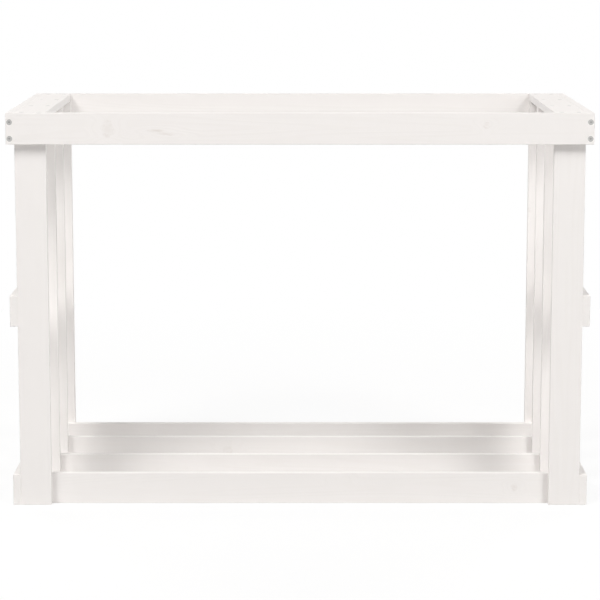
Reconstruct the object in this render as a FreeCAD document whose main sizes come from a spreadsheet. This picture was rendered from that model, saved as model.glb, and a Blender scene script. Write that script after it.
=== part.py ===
import FreeCAD, Part
import os
import Sketcher

# Firewood rack of painted pine boards, in millimetres. The front faces -Y, the floor is Z = 0, and the
# origin is on the floor under the middle of the rack.

# Driving dimensions, each named after the piece that it sets
SIZES = {
    "rack_width": 1080,
    "rack_depth": 520,
    "rack_height": 740,
    "board_width": 58,
    "board_thickness": 14,
    "edge_break": 0.6,
    "screw_head_diameter": 11.2,
    "screw_head_angle": 90,
    "screw_shank_diameter": 5,
    "screw_hole_clearance": 0.2,
    "screw_tip_diameter": 1,
    "screw_point_length": 5,
    "corner_screw_length": 40,
    "corner_screw_top_inset": 17,
    "corner_screw_bottom_inset": 10.5,
    "arm_screw_length": 30,
    "cross_screw_tip_cover": 3,
    "post_screw_spacing": 32,
    "brad_width": 1.6,
    "brad_thickness": 1.4,
    "brad_length": 40,
    "brad_spacing": 32,
    "brad_to_screw_gap": 3,
}

# Posts and cross rails stand in these rows, from the front to the back
ROWS = ("front", "second", "third", "back")
LAST_ROW = len(ROWS) - 1
SIDES = {"left": -1, "right": 1}

# Screws and their holes are drawn with this many flats, because there are many of them
SCREW_FLATS = 12

# Sketch plane across a board, by the direction of its grain
SECTION_PLANE = {"x": "YZ_Plane", "y": "XZ_Plane", "z": "XY_Plane"}

doc = FreeCAD.newDocument("firewood_rack")
sheet = doc.addObject("Spreadsheet::Sheet", "sizes")
for line, (alias, size) in enumerate(SIZES.items(), start=1):
    sheet.set(f"A{line}", alias)
    sheet.set(f"B{line}", str(size))
    sheet.setAlias(f"B{line}", alias)
doc.recompute()

# Sizes that the pieces share
width = "sizes.rack_width"
depth = "sizes.rack_depth"
height = "sizes.rack_height"
wide = "sizes.board_width"
thick = "sizes.board_thickness"
head = "sizes.screw_head_diameter"
shank = "sizes.screw_shank_diameter"
bore = f"({shank} + 2 * sizes.screw_hole_clearance)"
spacing = "sizes.post_screw_spacing"

# Places that the pieces share, worked out from those sizes
side_length = f"({depth} - 2 * {thick})"
post_height = f"({height} - {thick})"
post_x = f"({width} / 2 - {thick} - {wide} / 2)"
side_rail_x = f"(({width} - {thick}) / 2)"
row_pitch = f"(({side_length} - {thick}) / {LAST_ROW})"
first_row_y = f"(({thick} - {side_length}) / 2)"
rail_pitch = f"(({height} - {wide}) / 2)"
top_rail_z = f"({height} - {wide} / 2)"
low_corner_screw_z = f"({height} - {wide} + sizes.corner_screw_bottom_inset)"
corner_screw_rise = f"({wide} - sizes.corner_screw_top_inset - sizes.corner_screw_bottom_inset)"
top_brad_z = f"({height} - sizes.arm_screw_length - sizes.brad_to_screw_gap)"
cross_screw_depth = f"({thick} - sizes.cross_screw_tip_cover)"


def row_y(row):
    return f"({first_row_y} + {row} * {row_pitch})"


def cross_rail_y(row):
    # The back cross rail stands in front of its posts, the others behind theirs
    side = "-" if row == LAST_ROW else "+"
    return f"({row_y(row)} {side} {thick})"


def paired_brad_heights(rail_z):
    return [f"({rail_z} {sign} sizes.brad_spacing / 2)" for sign in "-+"]


def head_height(neck_diameter):
    # From the flat face of a countersunk head down to where its cone has this diameter
    return f"(({head} - {neck_diameter}) / 2 / tan(sizes.screw_head_angle * 1 deg / 2))"


# Diameter and distance below the face, along the axis of each turned form
def screw_rings(length):
    point_start = f"({length} - sizes.screw_point_length)"
    tip = "sizes.screw_tip_diameter"
    return [(head, "0"), (shank, head_height(shank)), (shank, point_start), (tip, length)]


def countersunk_hole_rings():
    return [(head, "0"), (bore, head_height(bore)), (bore, thick)]


def pilot_hole_rings(hole_depth):
    return [(shank, "0"), (shank, hole_depth)]


def origin_feature(body, role):
    return next(part for part in body.Origin.OriginFeatures if part.Role == role)


def value(expression):
    return float(sheet.evalExpression(expression))


def add_sketch(body, name, plane, lift="0", across="0", up="0"):
    # A sketch parallel to one of the body's own planes, moved by lift along the plane's normal
    sketch = body.newObject("Sketcher::SketchObject", f"{body.Name}_{name}")
    sketch.AttachmentSupport = (origin_feature(body, plane), [""])
    sketch.MapMode = "FlatFace"
    for axis, place in zip("xyz", (across, up, lift)):
        sketch.setExpression(f"AttachmentOffset.Base.{axis}", place)
    return sketch


def draw_outline(sketch, corners):
    # A closed outline of straight lines, with every corner held at its own place
    places = [FreeCAD.Vector(value(across), value(up), 0) for across, up in corners]
    lines = [
        sketch.addGeometry(Part.LineSegment(start, end), False)
        for start, end in zip(places, places[1:] + places[:1])
    ]
    for line, following in zip(lines, lines[1:] + lines[:1]):
        sketch.addConstraint(Sketcher.Constraint("Coincident", line, 2, following, 1))
    for line, corner in zip(lines, corners):
        for kind, place in zip(("DistanceX", "DistanceY"), corner):
            index = sketch.addConstraint(Sketcher.Constraint(kind, -1, 1, line, 1, value(place)))
            sketch.setExpression(f"Constraints[{index}]", place)


def draw_rectangle(sketch, across, up, size_across, size_up):
    # A rectangle about its own centre
    left, right = (f"({across} {side} {size_across} / 2)" for side in "-+")
    low, high = (f"({up} {side} {size_up} / 2)" for side in "-+")
    draw_outline(sketch, [(left, low), (right, low), (right, high), (left, high)])


def draw_ring(sketch, diameter):
    # A regular polygon about the sketch's origin, across its corners
    turns = [f"{corner} * 360 deg / {SCREW_FLATS}" for corner in range(SCREW_FLATS)]
    radius = f"{diameter} / 2"
    draw_outline(sketch, [(f"{radius} * cos({turn})", f"{radius} * sin({turn})") for turn in turns])


def add_pad(body, name, sketch, length, midplane=False, backwards=False):
    pad = body.newObject("PartDesign::Pad", f"{body.Name}_{name}")
    pad.Profile = sketch
    pad.Midplane = midplane
    pad.Reversed = backwards
    pad.setExpression("Length", length)
    return pad


def add_pocket(body, name, sketch, length, midplane=False, backwards=False):
    pocket = body.newObject("PartDesign::Pocket", f"{body.Name}_{name}")
    pocket.Profile = sketch
    pocket.Midplane = midplane
    pocket.Reversed = backwards
    pocket.setExpression("Length", length)
    return pocket


def add_loft(body, name, kind, rings, plane, place, inward):
    # A straight-sided form through rings, from a place on the face and into the wood
    across, up, lift = place
    sketches = []
    for number, (diameter, along) in enumerate(rings):
        ring_lift = f"{lift} + {inward} * ({along})"
        sketch = add_sketch(body, f"{name}_ring_{number}", plane, ring_lift, across, up)
        draw_ring(sketch, diameter)
        sketches.append(sketch)
    loft = body.newObject(f"PartDesign::{kind}Loft", f"{body.Name}_{name}")
    loft.Profile = sketches[0]
    loft.Sections = sketches[1:]
    loft.Ruled = True
    return loft


def add_screw(body, name, length, plane, place, inward):
    return add_loft(body, name, "Additive", screw_rings(length), plane, place, inward)


def add_hole(body, name, rings, plane, place, inward):
    return add_loft(body, name, "Subtractive", rings, plane, place, inward)


def repeat(body, feature, name, steps=(), mirrors=()):
    # Copies of a feature in equal steps along the body's axes, then mirrored in its planes
    group = body.newObject("PartDesign::MultiTransform", f"{body.Name}_{name}")
    group.Originals = [feature]
    moves = []
    for axis, pitch, count in steps:
        step = body.newObject("PartDesign::LinearPattern", f"{body.Name}_{name}_{axis}")
        step.Direction = (origin_feature(body, axis), [""])
        step.Mode = "Spacing"
        step.setExpression("Offset", pitch)
        step.Occurrences = count
        moves.append(step)
    for plane in mirrors:
        mirror = body.newObject("PartDesign::Mirrored", f"{body.Name}_{name}_{plane}")
        mirror.MirrorPlane = (origin_feature(body, plane), [""])
        moves.append(mirror)
    group.Transformations = moves
    body.Tip = group
    return group


def add_body(name, x="0", y="0", z="0"):
    body = doc.addObject("PartDesign::Body", name)
    body.Label = name
    for axis, place in zip("xyz", (x, y, z)):
        body.setExpression(f"Placement.Base.{axis}", place)
    return body


def add_board(name, grain, section, length, x, y, z):
    # A planed board about its own middle, with all its edges eased
    board = add_body(name, x, y, z)
    sketch = add_sketch(board, "section", SECTION_PLANE[grain])
    draw_rectangle(sketch, "0", "0", *section)
    blank = add_pad(board, "blank", sketch, length, midplane=True)
    eased = board.newObject("PartDesign::Chamfer", f"{name}_eased")
    eased.Base = (blank, [""])
    eased.UseAllEdges = True
    eased.setExpression("Size", "sizes.edge_break")
    return board


def add_top_rail(name, facing):
    # Runs the full width; its ends cover the side top rails and carry two screws each
    rail_y = f"{facing} * ({depth} - {thick}) / 2"
    rail = add_board(name, "x", (thick, wide), width, "0", rail_y, top_rail_z)
    place = (side_rail_x, f"{low_corner_screw_z} - {top_rail_z}", f"{-facing} * {thick} / 2")
    hole = add_hole(rail, "screw_hole", countersunk_hole_rings(), "XZ_Plane", place, facing)
    repeat(rail, hole, "screw_holes", [("Z_Axis", corner_screw_rise, 2)], mirrors=["YZ_Plane"])


def add_side_rail(name, side, z, brad_heights):
    # Lies flat against the outer edges of the posts, with slots for the brads at every post
    x = f"{SIDES[side]} * {side_rail_x}"
    rail = add_board(name, "y", (thick, wide), side_length, x, "0", z)
    sketch = add_sketch(rail, "brad_places", "YZ_Plane")
    for brad_z in brad_heights:
        draw_rectangle(sketch, first_row_y, brad_z, "sizes.brad_thickness", "sizes.brad_width")
    slots = add_pocket(rail, "first_brad_slots", sketch, thick, midplane=True)
    repeat(rail, slots, "brad_slots", [("Y_Axis", row_pitch, len(ROWS))])
    return rail


def add_side_top_rail(side):
    # The corner screws run into the end grain at both ends
    rail = add_side_rail(f"{side}_side_top_rail", side, top_rail_z, [f"({top_brad_z} - {top_rail_z})"])
    place = ("0", f"{low_corner_screw_z} - {top_rail_z}", f"{side_length} / 2")
    rings = pilot_hole_rings(f"sizes.corner_screw_length - {thick}")
    hole = add_hole(rail, "pilot_hole", rings, "XZ_Plane", place, -1)
    repeat(rail, hole, "pilot_holes", [("Z_Axis", corner_screw_rise, 2)], mirrors=["XZ_Plane"])


def add_arm_board(side):
    # Lies flat on the post tops, level with the top rails, with two screws into every post
    x = f"{SIDES[side]} * {post_x}"
    board = add_board(f"{side}_arm_board", "y", (wide, thick), side_length, x, "0", f"{height} - {thick} / 2")
    place = (f"-{spacing} / 2", first_row_y, f"{thick} / 2")
    hole = add_hole(board, "screw_hole", countersunk_hole_rings(), "XY_Plane", place, -1)
    repeat(board, hole, "screw_holes", [("X_Axis", spacing, 2), ("Y_Axis", row_pitch, len(ROWS))])


def add_post(side, row):
    # Stands on the floor with its wide face to the front
    outward = SIDES[side]
    name = f"{side}_{ROWS[row]}_post"
    middle = f"({post_height} / 2)"
    post = add_board(name, "z", (wide, thick), post_height, f"{outward} * {post_x}", row_y(row), middle)
    pair = [("X_Axis", spacing, 2)]

    # The arm board's screws come in through the top
    rings = pilot_hole_rings(f"sizes.arm_screw_length - {thick}")
    arm_hole = add_hole(post, "arm_pilot_hole", rings, "XY_Plane", (f"-{spacing} / 2", "0", middle), -1)
    repeat(post, arm_hole, "arm_pilot_holes", pair)

    # The cross rail's screws come from behind: into the post, or in the last row through it
    place = (f"-{spacing} / 2", f"{wide} / 2 - {middle}", f"-{thick} / 2")
    rings = countersunk_hole_rings() if row == LAST_ROW else pilot_hole_rings(cross_screw_depth)
    cross_hole = add_hole(post, "cross_screw_hole", rings, "XZ_Plane", place, 1)
    repeat(post, cross_hole, "cross_screw_holes", pair)

    # The side rails' brads come in through the outer edge
    edge = add_sketch(post, "brad_places", "YZ_Plane", lift=f"{outward} * {wide} / 2")
    for z in [top_brad_z] + paired_brad_heights(f"{wide} / 2") + paired_brad_heights(f"{height} / 2"):
        draw_rectangle(edge, "0", f"({z} - {middle})", "sizes.brad_thickness", "sizes.brad_width")
    add_pocket(post, "brad_slots", edge, f"sizes.brad_length - {thick}", backwards=outward < 0)


def add_cross_rail(row):
    # Stands on edge on the floor against the posts of its row, and carries the logs
    name = f"{ROWS[row]}_cross_rail"
    length = f"({width} - 2 * {thick})"
    rail = add_board(name, "x", (thick, wide), length, "0", cross_rail_y(row), f"{wide} / 2")
    place = (f"{post_x} - {spacing} / 2", "0", f"-{thick} / 2")
    rings = pilot_hole_rings(cross_screw_depth) if row == LAST_ROW else countersunk_hole_rings()
    hole = add_hole(rail, "screw_hole", rings, "XZ_Plane", place, 1)
    repeat(rail, hole, "screw_holes", [("X_Axis", spacing, 2)], mirrors=["YZ_Plane"])


def add_corner_screws():
    # Two through each end of the front and back top rails
    body = add_body("corner_screws")
    place = (side_rail_x, low_corner_screw_z, f"{depth} / 2")
    screw = add_screw(body, "screw", "sizes.corner_screw_length", "XZ_Plane", place, -1)
    repeat(body, screw, "group", [("Z_Axis", corner_screw_rise, 2)], mirrors=["YZ_Plane", "XZ_Plane"])


def add_arm_screws(side):
    body = add_body(f"{side}_arm_screws", f"{SIDES[side]} * {post_x}")
    place = (f"-{spacing} / 2", first_row_y, height)
    screw = add_screw(body, "screw", "sizes.arm_screw_length", "XY_Plane", place, -1)
    repeat(body, screw, "group", [("X_Axis", spacing, 2), ("Y_Axis", row_pitch, len(ROWS))])


def add_cross_rail_screws():
    # Two at each end of every cross rail, all driven from behind
    body = add_body("cross_rail_screws")
    length = f"({thick} + {cross_screw_depth})"
    hind_piece = {"screw": (cross_rail_y(0), LAST_ROW), "back_screw": (row_y(LAST_ROW), 1)}
    for name, (y, rows) in hind_piece.items():
        place = (f"{post_x} - {spacing} / 2", f"{wide} / 2", f"-({y} + {thick} / 2)")
        screw = add_screw(body, name, length, "XZ_Plane", place, 1)
        steps = [("X_Axis", spacing, 2)]
        if rows > 1:
            steps += [("Y_Axis", row_pitch, rows)]
        repeat(body, screw, f"{name}_group", steps, mirrors=["YZ_Plane"])


def add_side_brads(side):
    # Two brads through the bottom and middle side rails into every post, and one through the top rail
    outward = SIDES[side]
    body = add_body(f"{side}_side_brads")
    outer_face = f"{outward} * {width} / 2"
    low_z = paired_brad_heights(f"{wide} / 2")[0]
    for name, z in (("paired", low_z), ("top", top_brad_z)):
        sketch = add_sketch(body, f"{name}_section", "YZ_Plane", lift=outer_face)
        draw_rectangle(sketch, first_row_y, z, "sizes.brad_thickness", "sizes.brad_width")
        brad = add_pad(body, name, sketch, "sizes.brad_length", backwards=outward > 0)
        steps = [("Y_Axis", row_pitch, len(ROWS))]
        if name == "paired":
            steps += [("Z_Axis", "sizes.brad_spacing", 2), ("Z_Axis", rail_pitch, 2)]
        repeat(body, brad, f"{name}_group", steps)


def check_model():
    for part in doc.Objects:
        if "Invalid" in part.State or "Error" in part.State:
            raise RuntimeError(f"{part.Label} failed: {part.State}")
        if part.TypeId in ("PartDesign::Pocket", "PartDesign::SubtractiveLoft"):
            if part.Shape.Volume >= part.BaseFeature.Shape.Volume:
                raise RuntimeError(f"{part.Label} cuts nothing")
    for body in doc.findObjects("PartDesign::Body"):
        if body.Shape.isNull() or not body.Shape.isValid():
            raise RuntimeError(f"{body.Label} has no valid solid")


add_top_rail("front_top_rail", -1)
add_top_rail("back_top_rail", 1)
for side in SIDES:
    add_side_top_rail(side)
    paired = paired_brad_heights("0")
    add_side_rail(f"{side}_side_middle_rail", side, f"{height} / 2", paired)
    add_side_rail(f"{side}_side_bottom_rail", side, f"{wide} / 2", paired)
    add_arm_board(side)
    for row in range(len(ROWS)):
        add_post(side, row)
    add_arm_screws(side)
    add_side_brads(side)
for row in range(len(ROWS)):
    add_cross_rail(row)
add_corner_screws()
add_cross_rail_screws()
doc.recompute()
check_model()

os.makedirs("parts", exist_ok=True)
for body in doc.findObjects("PartDesign::Body"):
    body.Shape.exportStep(f"parts/{body.Label}.step")
    print(f"{body.Label}: {len(body.Shape.Solids)} solids, {body.Shape.Volume / 1000:.2f} cm3")
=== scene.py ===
import bpy
import bmesh
import math
from mathutils import Matrix, Vector


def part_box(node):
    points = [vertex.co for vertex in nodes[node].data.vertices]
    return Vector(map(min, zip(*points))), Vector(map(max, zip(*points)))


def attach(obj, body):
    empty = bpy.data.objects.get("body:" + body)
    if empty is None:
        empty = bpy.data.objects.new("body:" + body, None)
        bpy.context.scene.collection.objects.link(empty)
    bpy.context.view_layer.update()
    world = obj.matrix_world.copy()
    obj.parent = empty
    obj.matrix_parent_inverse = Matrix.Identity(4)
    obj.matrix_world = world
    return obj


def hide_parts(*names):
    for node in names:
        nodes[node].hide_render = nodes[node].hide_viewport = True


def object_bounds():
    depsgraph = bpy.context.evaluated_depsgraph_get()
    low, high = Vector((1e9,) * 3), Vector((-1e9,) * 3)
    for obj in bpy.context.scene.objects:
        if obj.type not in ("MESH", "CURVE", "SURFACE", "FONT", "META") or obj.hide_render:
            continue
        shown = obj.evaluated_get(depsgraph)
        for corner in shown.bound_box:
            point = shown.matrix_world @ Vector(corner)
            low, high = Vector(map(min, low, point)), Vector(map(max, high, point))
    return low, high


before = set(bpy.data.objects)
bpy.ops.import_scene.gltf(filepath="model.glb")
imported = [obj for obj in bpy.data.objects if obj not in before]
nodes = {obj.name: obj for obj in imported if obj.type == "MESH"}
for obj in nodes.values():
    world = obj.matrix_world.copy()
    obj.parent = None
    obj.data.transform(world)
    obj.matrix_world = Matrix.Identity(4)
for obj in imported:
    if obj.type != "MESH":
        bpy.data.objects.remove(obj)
cadBox = [[float(number) for number in corner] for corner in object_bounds()]
sides = {"left": -1, "right": 1}
rows = ["front", "second", "third", "back"]
print("frame loaded:", len(nodes), "nodes")


def addNode(tree, kind, inputs=None, **settings):
    node = tree.nodes.new("ShaderNode" + kind)
    for name, setting in settings.items():
        setattr(node, name, setting)
    for socket, source in (inputs or {}).items():
        if isinstance(source, bpy.types.NodeSocket):
            tree.links.new(source, node.inputs[socket])
        else:
            node.inputs[socket].default_value = source
    return node


def newMaterial(name):
    material = bpy.data.materials.new(name)
    material.use_nodes = True
    material.node_tree.nodes.clear()
    return material, material.node_tree


def mathNode(tree, operation, first, second=0.0):
    return addNode(tree, "Math", {0: first, 1: second}, operation=operation).outputs[0]


def vectorNode(tree, operation, first, second, third=(0, 0, 0)):
    inputs = {0: first, 1: second, 2: third}
    return addNode(tree, "VectorMath", inputs, operation=operation).outputs[0]


def lengthNode(tree, vector):
    return addNode(tree, "VectorMath", {0: vector}, operation="LENGTH").outputs["Value"]


def scaledPlace(tree, place, scale):
    return addNode(tree, "Mapping", {"Vector": place, "Scale": scale}).outputs["Vector"]


def noiseNode(tree, place, scale, detail, roughness=0.5, output="Fac"):
    inputs = {"Vector": place, "Scale": scale, "Detail": detail, "Roughness": roughness}
    return addNode(tree, "TexNoise", inputs).outputs[output]


def mapRange(tree, source, fromEnds, toEnds, smooth=False):
    inputs = {
        "Value": source,
        "From Min": fromEnds[0],
        "From Max": fromEnds[1],
        "To Min": toEnds[0],
        "To Max": toEnds[1],
    }
    kind = "SMOOTHSTEP" if smooth else "LINEAR"
    return addNode(tree, "MapRange", inputs, interpolation_type=kind).outputs["Result"]


def mixColor(tree, factor, first, second):
    return addNode(tree, "Mix", {0: factor, 6: first, 7: second}, data_type="RGBA").outputs[2]


def bumpNode(tree, height, depth, strength, below=None):
    inputs = {"Height": height, "Distance": depth, "Strength": strength}
    if below is not None:
        inputs["Normal"] = below
    return addNode(tree, "Bump", inputs).outputs[0]


noiseSpread = (0.3, 0.7)  # where most values of a noise texture lie

# White paint over pine, one material for each direction of the grain
paintedPine = {
    "coat": (0.884, 0.860, 0.845, 1),
    "shade": (0.800, 0.772, 0.735, 1),     # where the late wood shows through
    "knotStain": (0.580, 0.515, 0.455, 1),
    "roughness": (0.60, 0.75),
    "specular": 0.25,
    "acrossPerMetre": 15.0,                # how fast the rings change across the board
    "alongPerMetre": 0.8,
    "fieldRoughness": 0.45,
    "ringCount": 19.0,
    "lateWood": (-0.2, 1.0),               # where it starts and peaks on the wave of a ring
    "ringTint": (0.03, 0.10),              # least and most, in broad patches
    "patchScale": 0.35,
    "patchSpread": (0.35, 0.65),
    "knotsPerMetre": 7.0,
    "knotRadius": 0.0085,
    "knotStretch": 0.7,                    # chance knots are longer along the grain
    "knotTint": 0.20,
    "chanceStain": 0.6,
    "chanceEdge": (0.1, 0.8),              # fade of the stain, as shares of the radius
    "markEdge": (0.1, 0.9),
    "rimAt": 0.75,
    "rimWidth": 0.45,
    "rimBreaksPerMetre": 130.0,
    "rimBreaks": (0.40, 0.65),
    "rimFaintest": 0.1,
    "bendPerMetre": 55.0,
    "knotBend": 0.013,                     # how far outlines stray, less on streaks along the grain
    "streakBend": 0.003,
    "streakRatio": 3.0,                    # a mark longer than this many widths is a streak
    "crowdReach": 4.0,                     # rings crowd within this many radii of a knot
    "crowdTurns": 2.2,
    "brushPerMetre": 420.0,
    "brushAlongPerMetre": 9.0,
    "poresPerMetre": 900.0,
    "endFacing": 0.9,                      # a face this square to the grain is a board's end
    "brushRelief": (0.00004, 0.7),         # depth and strength
    "ringRelief": (0.00010, 0.6),
    "knotRelief": (0.00018, 0.6),
    # knots and streaks in sight, by grain: place, half length, half width, stain
    "marks": {
        "X": [
            ((-0.352, -0.260, 0.711), 0.0120, 0.0150, 0.6),
            ((-0.262, -0.260, 0.708), 0.0190, 0.0032, 1.6),
            ((-0.245, -0.260, 0.702), 0.0200, 0.0030, 1.2),
            ((0.342, -0.260, 0.718), 0.0080, 0.0050, 0.6),
            ((0.404, -0.232, 0.031), 0.0075, 0.0080, 1.1),
        ],
        "Y": [],
        "Z": [((0.473, 0.232, 0.502), 0.0060, 0.0050, 0.6)],
    },
}


def makePaintedPine(grain):
    look = paintedPine
    axis = "XYZ".index(grain)
    material, tree = newMaterial("paintedPine" + grain)
    place = addNode(tree, "TexCoord").outputs["Object"]
    stretch = [look["acrossPerMetre"]] * 3
    stretch[axis] = look["alongPerMetre"]
    stretched = scaledPlace(tree, place, stretch)
    field = noiseNode(tree, stretched, 1.0, 2.0, look["fieldRoughness"])

    # how far away knots are, in their own radii, and how stained: chance ones first, then the marks
    wobble = noiseNode(tree, place, look["bendPerMetre"], 3.0, output="Color")
    centred = vectorNode(tree, "SUBTRACT", wobble, (0.5, 0.5, 0.5))
    knotPlace = vectorNode(tree, "MULTIPLY_ADD", centred, [look["knotBend"]] * 3, place)
    streakPlace = vectorNode(tree, "MULTIPLY_ADD", centred, [look["streakBend"]] * 3, place)
    oval = [look["knotsPerMetre"]] * 3
    oval[axis] *= look["knotStretch"]
    ovalPlace = scaledPlace(tree, knotPlace, oval)
    cells = addNode(tree, "TexVoronoi", {"Vector": ovalPlace, "Scale": 1.0}).outputs["Distance"]
    away = mathNode(tree, "DIVIDE", cells, look["knotsPerMetre"] * look["knotRadius"])
    core = mapRange(tree, away, look["chanceEdge"], (look["chanceStain"], 0), smooth=True)
    for spot, halfLength, halfWidth, strength in look["marks"][grain]:
        size = [1 / halfWidth] * 3
        size[axis] = 1 / halfLength
        isStreak = halfLength > look["streakRatio"] * halfWidth
        offset = vectorNode(tree, "SUBTRACT", streakPlace if isStreak else knotPlace, spot)
        fromMark = lengthNode(tree, vectorNode(tree, "MULTIPLY", offset, size))
        away = mathNode(tree, "MINIMUM", away, fromMark)
        markCore = mapRange(tree, fromMark, look["markEdge"], (strength, 0), smooth=True)
        core = mathNode(tree, "MAXIMUM", core, markCore)

    # a rim with gaps in it round each knot
    fromRim = mathNode(tree, "ABSOLUTE", mathNode(tree, "SUBTRACT", away, look["rimAt"]))
    rim = mapRange(tree, fromRim, (0, look["rimWidth"]), (1, 0), smooth=True)
    breaks = noiseNode(tree, place, look["rimBreaksPerMetre"], 2.0)
    unbroken = mapRange(tree, breaks, look["rimBreaks"], (look["rimFaintest"], 1))
    knot = mathNode(tree, "MAXIMUM", mathNode(tree, "MULTIPLY", rim, unbroken), core)

    # growth rings, crowding round the knots
    crowd = mapRange(tree, away, (0, look["crowdReach"]), (look["crowdTurns"], 0), smooth=True)
    turns = mathNode(tree, "ADD", mathNode(tree, "MULTIPLY", field, look["ringCount"]), crowd)
    wave = mathNode(tree, "SINE", mathNode(tree, "MULTIPLY", turns, 2 * math.pi))
    lateWood = mapRange(tree, wave, look["lateWood"], (0, 1), smooth=True)

    # brush strokes along the board, and open pores on its ends
    strokes = [look["brushPerMetre"]] * 3
    strokes[axis] = look["brushAlongPerMetre"]
    brush = noiseNode(tree, scaledPlace(tree, place, strokes), 1.0, 3.0)
    pores = noiseNode(tree, place, look["poresPerMetre"], 2.0)
    normal = addNode(tree, "NewGeometry").outputs["Normal"]
    facing = mathNode(tree, "ABSOLUTE", addNode(tree, "SeparateXYZ", {0: normal}).outputs[axis])
    onEnd = mathNode(tree, "GREATER_THAN", facing, look["endFacing"])
    fine = addNode(tree, "Mix", {0: onEnd, 2: brush, 3: pores}).outputs[0]

    # the coat: thinner over late wood, in some patches more than in others, and stained over knots
    broad = noiseNode(tree, stretched, look["patchScale"], 1.0)
    ringTint = mapRange(tree, broad, look["patchSpread"], look["ringTint"])
    thin = mathNode(tree, "MULTIPLY", lateWood, ringTint)
    tinted = mixColor(tree, thin, look["coat"], look["shade"])
    stain = mathNode(tree, "MULTIPLY", knot, look["knotTint"])

    # slight relief of the strokes, rings and knots
    relief = bumpNode(tree, fine, *look["brushRelief"])
    relief = bumpNode(tree, lateWood, *look["ringRelief"], relief)
    relief = bumpNode(tree, knot, *look["knotRelief"], relief)
    paint = addNode(tree, "BsdfPrincipled", {
        "Base Color": mixColor(tree, stain, tinted, look["knotStain"]),
        "Roughness": mapRange(tree, fine, noiseSpread, look["roughness"]),
        "Specular IOR Level": look["specular"],
        "Normal": relief,
    })
    addNode(tree, "OutputMaterial", {"Surface": paint.outputs[0]})
    return material


# Dull zinc on the bare screws
zincPlate = {
    "metal": (0.50, 0.495, 0.486, 1),
    "dull": (0.425, 0.425, 0.42, 1),
    "roughness": (0.60, 0.75),
    "patchesPerMetre": 260.0,
    "scratchesPerMetre": 2400.0,
    "scratchRelief": (0.00001, 0.5),       # depth and strength
}


def makeZincPlate():
    look = zincPlate
    material, tree = newMaterial("zincPlate")
    place = addNode(tree, "TexCoord").outputs["Object"]
    patches = noiseNode(tree, place, look["patchesPerMetre"], 3.0)
    scratches = noiseNode(tree, place, look["scratchesPerMetre"], 2.0)
    plate = addNode(tree, "BsdfPrincipled", {
        "Base Color": mixColor(tree, patches, look["metal"], look["dull"]),
        "Roughness": mapRange(tree, scratches, noiseSpread, look["roughness"]),
        "Metallic": 1.0,
        "Normal": bumpNode(tree, scratches, *look["scratchRelief"]),
    })
    addNode(tree, "OutputMaterial", {"Surface": plate.outputs[0]})
    return material


pineAlong = {grain: makePaintedPine(grain) for grain in "XYZ"}
zinc = makeZincPlate()
print("materials made:", len(bpy.data.materials))


def grainOf(name):
    if name.endswith("_post"):
        return "Z"
    if "_side_" in name or name.endswith("_arm_board"):
        return "Y"
    return "X"


boards = [name for name in nodes if not name.endswith(("_screws", "_brads"))]
for name in boards:
    nodes[name].material_slots[0].material = pineAlong[grainOf(name)]
print("boards painted:", len(boards))


def keepPiece(name, bm, material, node):
    mesh = bpy.data.meshes.new(name)
    bm.to_mesh(mesh)
    bm.free()
    mesh.materials.append(material)
    piece = bpy.data.objects.new(name, mesh)
    bpy.context.collection.objects.link(piece)
    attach(piece, "root")
    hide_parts(node)
    return piece


# Countersunk screws with a cross recess
screwForm = {
    "headRadius": 0.0054,
    "landHeight": 0.0004,      # straight rim above the countersink
    "rimBevel": 0.00025,
    "faceRadius": 0.0030,      # inner edge of the flat ring round the recess
    "shankRadius": 0.0025,
    "pointLength": 0.005,
    "sink": 0.00025,           # head face below the board's face
    "recessReach": 0.0023,
    "recessHalfWidth": 0.0005,
    "recessCorner": 0.0008,
    "recessDepth": 0.0015,
    "recessTaper": 0.45,
    "steps": 40,
    "weld": 1e-6,              # points closer than this are one
    "turnStep": math.radians(137.5),  # from one screw's recess to the next
    "sharpAngle": math.radians(35),
}


def makeScrewMesh(length):
    form = screwForm
    bm = bmesh.new()
    top = -form["sink"]
    head, shank, bevel = form["headRadius"], form["shankRadius"], form["rimBevel"]
    coneTop = top - bevel - form["landHeight"]
    profile = [
        (form["faceRadius"], top),
        (head - bevel, top),
        (head, top - bevel),
        (head, coneTop),
        (shank, coneTop - (head - shank)),
        (shank, form["pointLength"] - length),
        (0.0, -length),
    ]
    corners = [bm.verts.new((radius, 0, height)) for radius, height in profile]
    lines = [bm.edges.new(pair) for pair in zip(corners, corners[1:])]
    bmesh.ops.spin(bm, geom=corners + lines, cent=(0, 0, 0), axis=(0, 0, 1), angle=2 * math.pi,
                   steps=form["steps"], use_merge=True)
    bmesh.ops.remove_doubles(bm, verts=bm.verts, dist=form["weld"])
    ring = [edge for edge in bm.edges if edge.is_boundary]

    # a plus sign with cut inner corners, bridged to the flat ring and pushed in
    reach, half, corner = form["recessReach"], form["recessHalfWidth"], form["recessCorner"]
    arm = [Vector((reach, -half, top)), Vector((reach, half, top)), Vector((corner, corner, top))]
    quarters = [Matrix.Rotation(turn * math.pi / 2, 3, "Z") for turn in range(4)]
    plus = [bm.verts.new(quarter @ point) for quarter in quarters for point in arm]
    edges = [bm.edges.new(pair) for pair in zip(plus, plus[1:] + plus[:1])]
    bmesh.ops.bridge_loops(bm, edges=ring + edges)
    pushed = bmesh.ops.extrude_edge_only(bm, edges=edges)["geom"]
    floor = [vert for vert in pushed if isinstance(vert, bmesh.types.BMVert)]
    bmesh.ops.scale(bm, verts=floor, vec=(form["recessTaper"], form["recessTaper"], 1))
    bmesh.ops.translate(bm, verts=floor, vec=(0, 0, -form["recessDepth"]))
    bmesh.ops.contextual_create(bm, geom=[edge for edge in bm.edges if edge.is_boundary])
    bmesh.ops.recalc_face_normals(bm, faces=bm.faces)
    mesh = bpy.data.meshes.new("screwBlank")
    bm.to_mesh(mesh)
    bm.free()
    return mesh


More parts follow.
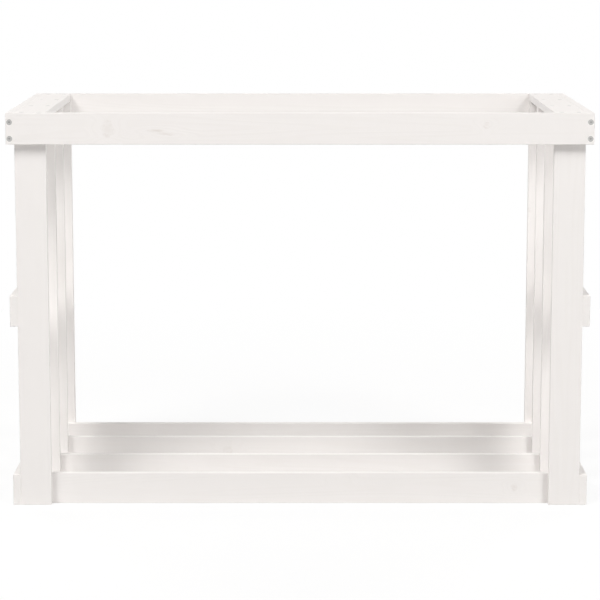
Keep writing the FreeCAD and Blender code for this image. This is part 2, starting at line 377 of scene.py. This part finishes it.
def addScrews(name, node, length, places):
    blank = makeScrewMesh(length)
    bm = bmesh.new()
    for number, (place, outward) in enumerate(places):
        held = set(bm.verts)
        bm.from_mesh(blank)
        added = [vert for vert in bm.verts if vert not in held]
        aim = Vector((0, 0, 1)).rotation_difference(Vector(outward)).to_matrix().to_4x4()
        spin = Matrix.Rotation(number * screwForm["turnStep"], 4, "Z")
        bmesh.ops.transform(bm, matrix=Matrix.Translation(place) @ aim @ spin, verts=added)
    bpy.data.meshes.remove(blank)
    piece = keepPiece(name, bm, zinc, node)
    piece.data.shade_smooth()
    piece.data.set_sharp_from_angle(angle=screwForm["sharpAngle"])


def middle(name):
    low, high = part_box(name)
    return (Vector(low) + Vector(high)) / 2


# Screw lengths, and their places on the boards
screwPlan = {
    "cornerLength": 0.040,
    "cornerTopInset": 0.017,
    "cornerBottomInset": 0.0105,
    "armLength": 0.030,
    "crossLength": 0.025,
    "spacing": 0.032,          # of a pair
}


def cornerPlaces():
    places = []
    for rail, outward in (("front_top_rail", -1), ("back_top_rail", 1)):
        low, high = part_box(rail)
        faceY = low[1] if outward < 0 else high[1]
        for side in sides:
            x = middle(side + "_side_top_rail").x
            for z in (high[2] - screwPlan["cornerTopInset"], low[2] + screwPlan["cornerBottomInset"]):
                places.append((Vector((x, faceY, z)), (0, outward, 0)))
    return places


def pairedX(side):
    x = middle(side + "_front_post").x
    return [x - screwPlan["spacing"] / 2, x + screwPlan["spacing"] / 2]


def armPlaces(side):
    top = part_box(side + "_arm_board")[1][2]
    return [
        (Vector((x, middle(f"{side}_{row}_post").y, top)), (0, 0, 1))
        for row in rows for x in pairedX(side)
    ]


def crossPlaces():
    places = []
    for row in rows:
        hindmost = "left_back_post" if row == "back" else row + "_cross_rail"
        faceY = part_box(hindmost)[1][1]
        z = middle(row + "_cross_rail").z
        places += [(Vector((x, faceY, z)), (0, 1, 0)) for side in sides for x in pairedX(side)]
    return places


addScrews("cornerScrews", "corner_screws", screwPlan["cornerLength"], cornerPlaces())
for side in sides:
    addScrews(side + "ArmScrews", side + "_arm_screws", screwPlan["armLength"], armPlaces(side))
addScrews("crossRailScrews", "cross_rail_screws", screwPlan["crossLength"], crossPlaces())
print("screws set: 4 groups")


# Brads, driven just under the face and painted over
bradForm = {
    "length": 0.040,
    "thickness": 0.0014,
    "width": 0.0016,
    "sink": 0.0004,
    "spacing": 0.032,
    "screwGap": 0.003,         # from the points of the arm screws down to the top brads
    "chisel": 0.35,            # share of the thickness left at the point
    "edge": 0.0002,
    "edgeSteps": 2,
}


def addBrads(side):
    form = bradForm
    bm = bmesh.new()
    outer = sides[side]
    faceX = abs(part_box(side + "_side_top_rail")[0 if outer < 0 else 1][0])
    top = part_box(side + "_arm_board")[1][2]
    length = form["length"] - form["sink"]
    heights = [top - screwPlan["armLength"] - form["screwGap"]]
    for rail in ("_side_middle_rail", "_side_bottom_rail"):
        z = middle(side + rail).z
        heights += [z - form["spacing"] / 2, z + form["spacing"] / 2]
    for row in rows:
        y = middle(f"{side}_{row}_post").y
        for z in heights:
            made = bmesh.ops.create_cube(bm, size=1)["verts"]
            tip = [vert for vert in made if vert.co.x < 0]
            bmesh.ops.scale(bm, verts=tip, vec=(1, form["chisel"], 1))
            rim = [
                edge for edge in bm.edges
                if all(vert in made and vert.co.x > 0 for vert in edge.verts)
            ]
            bmesh.ops.scale(bm, verts=made, vec=(length, form["thickness"], form["width"]))
            bmesh.ops.translate(bm, verts=made, vec=(faceX - form["sink"] - length / 2, y, z))
            bmesh.ops.bevel(bm, geom=rim, offset=form["edge"], affect="EDGES",
                            segments=form["edgeSteps"], profile=0.5, material=-1)
    if outer < 0:
        bmesh.ops.scale(bm, verts=bm.verts, vec=(-1, 1, 1))
    bmesh.ops.recalc_face_normals(bm, faces=bm.faces)
    keepPiece(side + "SideBrads", bm, pineAlong["X"], side + "_side_brads")


for side in sides:
    addBrads(side)
print("brads set")


# White studio floor that keeps a soft shadow, and lamps all round
studio = {
    "floorSize": 160.0,
    "floorColor": (0.70, 0.70, 0.70, 1),   # as it throws light on the rack
    "floorSeen": (1.0, 1.0, 1.0, 1),       # as the camera and mirrors see it
    "floorGlow": 0.88,                     # share of plain white in what they see near the rack
    "shadowReach": (0.9, 2.2),             # metres from the middle over which the shadow fades out
    "worldLight": 0.02,
    "aimHeight": 0.37,
    "lampDistance": 14.0,
    "lampSize": 5.0,
    "lamps": {                             # degrees round from the front and up, watts, colour
        "keyLamp": ((-40.0, 40.0), 440.0, (1.0, 0.985, 0.97)),
        "highLamp": ((-40.0, 55.0), 830.0, (1.0, 0.985, 0.97)),
        "fillLamp": ((40.0, 40.0), 750.0, (1.0, 0.99, 0.98)),
        "lowLamp": ((40.0, 15.0), 240.0, (1.0, 0.99, 0.98)),
        "backLeftLamp": ((-145.0, 18.0), 590.0, (1.0, 0.99, 0.98)),
        "backRightLamp": ((145.0, 18.0), 675.0, (1.0, 0.99, 0.98)),
    },
}


def seenRays(tree):
    rays = addNode(tree, "LightPath").outputs
    seen = mathNode(tree, "MAXIMUM", rays["Is Camera Ray"], rays["Is Glossy Ray"])
    return mathNode(tree, "MAXIMUM", seen, rays["Is Transmission Ray"])


def addFloor():
    material, tree = newMaterial("studioFloor")
    seen = seenRays(tree)
    color = mixColor(tree, seen, studio["floorColor"], studio["floorSeen"])
    matt = addNode(tree, "BsdfDiffuse", {"Color": color})
    white = addNode(tree, "Emission", {"Color": (1, 1, 1, 1), "Strength": 1.0})
    away = lengthNode(tree, addNode(tree, "TexCoord").outputs["Object"])
    glow = mapRange(tree, away, studio["shadowReach"], (studio["floorGlow"], 1), smooth=True)
    share = mathNode(tree, "MULTIPLY", seen, glow)
    both = addNode(tree, "MixShader", {0: share, 1: matt.outputs[0], 2: white.outputs[0]})
    addNode(tree, "OutputMaterial", {"Surface": both.outputs[0]})
    bm = bmesh.new()
    bmesh.ops.create_grid(bm, x_segments=1, y_segments=1, size=studio["floorSize"] / 2)
    mesh = bpy.data.meshes.new("floor")
    bm.to_mesh(mesh)
    bm.free()
    mesh.materials.append(material)
    floor = bpy.data.objects.new("floor", mesh)
    bpy.context.collection.objects.link(floor)


def addWorld():
    world = bpy.data.worlds.new("studioWorld")
    world.use_nodes = True
    tree = world.node_tree
    tree.nodes.clear()
    strength = mapRange(tree, seenRays(tree), (0, 1), (studio["worldLight"], 1))
    sky = addNode(tree, "Background", {"Color": (1, 1, 1, 1), "Strength": strength})
    addNode(tree, "OutputWorld", {"Surface": sky.outputs[0]})
    bpy.context.scene.world = world


def addLamp(name, angles, watts, color):
    around, up = (math.radians(angle) for angle in angles)
    level = math.cos(up)
    outward = Vector((math.sin(around) * level, -math.cos(around) * level, math.sin(up)))
    light = bpy.data.lights.new(name, "AREA")
    light.shape = "DISK"
    light.size = studio["lampSize"]
    light.energy = watts
    light.color = color
    lamp = bpy.data.objects.new(name, light)
    lamp.location = Vector((0, 0, studio["aimHeight"])) + outward * studio["lampDistance"]
    lamp.rotation_euler = outward.to_track_quat("Z", "Y").to_euler()
    bpy.context.collection.objects.link(lamp)


addFloor()
addWorld()
for name, lamp in studio["lamps"].items():
    addLamp(name, *lamp)
print("studio lit")


# Long lens from where the photograph was taken, pitched down because it has no shift
view = {
    "lens": 140.5,
    "sensor": 36.0,
    "distance": 4.287,         # from the front of the rack
    "height": 1.0735,
    "pitch": 9.013,
    "clipEnd": 300.0,
}
cameraData = bpy.data.cameras.new("photoCamera")
cameraData.lens = view["lens"]
cameraData.sensor_width = view["sensor"]
cameraData.clip_end = view["clipEnd"]
camera = bpy.data.objects.new("photoCamera", cameraData)
camera.location = (0, cadBox[0][1] - view["distance"], view["height"])
camera.rotation_euler = (math.radians(90 - view["pitch"]), 0, 0)
bpy.context.collection.objects.link(camera)
bpy.context.scene.camera = camera
bpy.context.scene.view_settings.view_transform = "Standard"
print("camera set")
